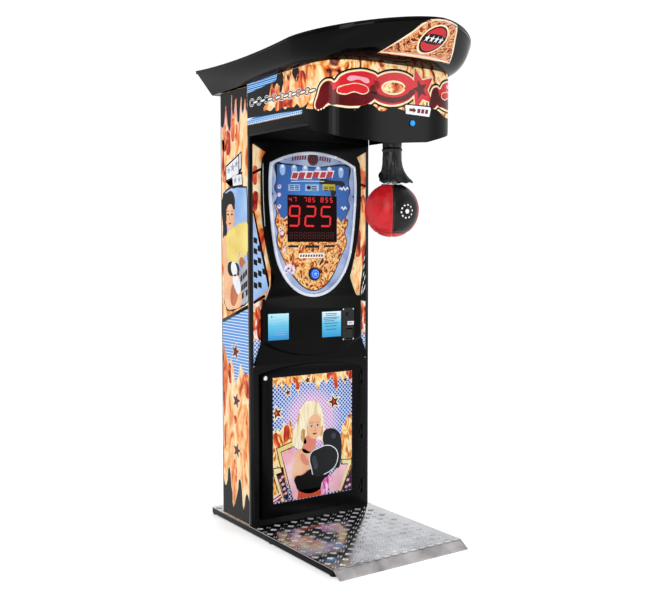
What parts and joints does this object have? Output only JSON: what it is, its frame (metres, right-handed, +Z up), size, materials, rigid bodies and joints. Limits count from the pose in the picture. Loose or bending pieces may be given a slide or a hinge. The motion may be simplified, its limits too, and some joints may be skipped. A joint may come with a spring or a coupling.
{
  "type": "boxing punch machine",
  "caption": "Free-standing arcade punch machine: a ball on a swinging arm under a flared head, score display, coin console, lower door and tread-plate deck.",
  "frame": {"origin": "on the floor, under the middle of the overall box", "axes": "+Z up, the player stands on the -Y side facing +Y, +X on the player's right"},
  "size_m": [0.892, 1.3459, 2.257],
  "materials": {
    "frame_steel": "satin black powder coat",
    "rubber": "matt moulded rubber",
    "tread_aluminium": "bright rolled tread plate",
    "side_print": "printed flame laminate on plywood",
    "front_print": "printed flame laminate on plywood",
    "black_board": "black laminate on plywood",
    "post_black": "black anodised profile",
    "edge_band": "edge banding",
    "raw_steel": "zinc plated",
    "fascia_print": "printed film on moulded plastic",
    "lip_black": "gloss black moulding",
    "underside_gloss": "mirror gloss black",
    "roof_gloss": "gloss black moulding",
    "badge_print": "printed film",
    "shell_black": "satin black moulding",
    "bezel_silver": "silver print border",
    "display_print": "back-printed panel",
    "dark_window": "dark red filter",
    "led_red": "lit segments",
    "circuit": "circuit board",
    "chrome": "bright chrome",
    "button_blue": "lit clear blue",
    "card_blue": "printed card",
    "coin_black": "black textured plastic",
    "slot_white": "white plastic",
    "picture_print": "printed picture",
    "ball_leather": "two-tone punching ball leather",
    "sleeve_leather": "creased black leather"
  },
  "bodies": {
    "machine": {"foot_pads": "rubber", "base_frame": "frame_steel", "deck_plate": "tread_aluminium", "side_panel_left": "side_print", "side_panel_right": "side_print", "rear_panel": "black_board", "cabinet_top": "black_board", "cash_shelf": "black_board", "front_board": "front_print", "corner_post_left": "post_black", "corner_post_right": "post_black", "rear_edge_strips": "edge_band", "head_frame": "frame_steel", "fascia_skin": "fascia_print", "head_lip": "lip_black", "underside_plate": "underside_gloss", "roof_canopy": "roof_gloss", "roof_lid": "roof_gloss", "roof_badge": "badge_print", "front_moulding": "shell_black", "display_bezel": "bezel_silver", "display_panel": "display_print", "score_window": "dark_window", "score_digits": "led_red", "display_board": "circuit", "select_button_bezel": "chrome", "start_button_bezel": "coin_black", "instruction_card_left": "card_blue", "instruction_card_right": "card_blue", "coin_entry_plate": "coin_black", "coin_slot_bezel": "slot_white", "coin_return_cup": "coin_black", "coin_mech": "raw_steel", "cash_box": "raw_steel", "hinge_fixed_leaves": "frame_steel", "pivot_bearings": "raw_steel", "latch_solenoid": "raw_steel", "arm_buffer": "rubber", "control_board": "circuit", "power_supply": "raw_steel", "power_inlet": "coin_black", "front_screws": "coin_black"},
    "arm": {"pivot_shaft": "raw_steel", "arm_tube": "raw_steel", "arm_sleeve": "sleeve_leather", "ball": "ball_leather", "latch_disc": "raw_steel"},
    "pawl": {"latch_pawl": "raw_steel"},
    "plunger": {"solenoid_plunger": "raw_steel"},
    "start_button_body": {"start_button": "button_blue"},
    "select_button_body": {"select_button": "button_blue"},
    "reject_button_body": {"reject_button": "coin_black"},
    "return_flap": {"coin_return_flap": "coin_black"},
    "door": {"door_skin": "shell_black", "door_board": "black_board", "door_picture": "picture_print", "door_lock": "chrome", "hinge_moving_leaves": "frame_steel"},
    "cam": {"lock_cam": "raw_steel"},
    "switch": {"power_switch": "coin_black"}
  },
  "joints": [
    {"name": "arm_swing", "type": "hinge", "parent": "machine", "child": "arm", "pos_m": [0, -0.35, 1.945], "axis": [1, 0, 0], "range_deg": [0, 66]},
    {"name": "pawl_lift", "type": "hinge", "parent": "machine", "child": "pawl", "pos_m": [0.063, -0.3, 1.9665], "axis": [1, 0, 0], "range_deg": [-12, 0], "stiffness_Nm_per_rad": 0.04, "springref_deg": 34.38},
    {"name": "plunger_pull", "type": "slide", "parent": "machine", "child": "plunger", "axis": [0, 0, -1], "range_m": [0, 0.0056]},
    {"name": "start_press", "type": "slide", "parent": "machine", "child": "start_button_body", "axis": [0, 1, 0], "range_m": [0, 0.003], "stiffness_N_per_m": 200, "springref_m": -0.004},
    {"name": "select_press", "type": "slide", "parent": "machine", "child": "select_button_body", "axis": [0, 1, 0], "range_m": [0, 0.004], "stiffness_N_per_m": 200, "springref_m": -0.004},
    {"name": "reject_press", "type": "slide", "parent": "machine", "child": "reject_button_body", "axis": [0, 1, 0], "range_m": [0, 0.005], "stiffness_N_per_m": 200, "springref_m": -0.004},
    {"name": "return_flap_swing", "type": "hinge", "parent": "machine", "child": "return_flap", "pos_m": [0.206, 0.252, 0.941], "axis": [1, 0, 0], "range_deg": [0, 60]},
    {"name": "door_swing", "type": "hinge", "parent": "machine", "child": "door", "pos_m": [0.297, 0.262, 0.42], "axis": [0, 0, 1], "range_deg": [0, 110]},
    {"name": "lock_turn", "type": "hinge", "parent": "door", "child": "cam", "pos_m": [-0.272, 0.298, 0.735], "axis": [0, 1, 0], "range_deg": [0, 90]},
    {"name": "switch_rock", "type": "hinge", "parent": "machine", "child": "switch", "pos_m": [-0.1825, 0.557, 0.15], "axis": [1, 0, 0], "range_deg": [0, 12]}
  ],
  "couplings": [
    {"joint": "plunger_pull", "follows": "pawl_lift", "m_per_rad": -0.026}
  ]
}
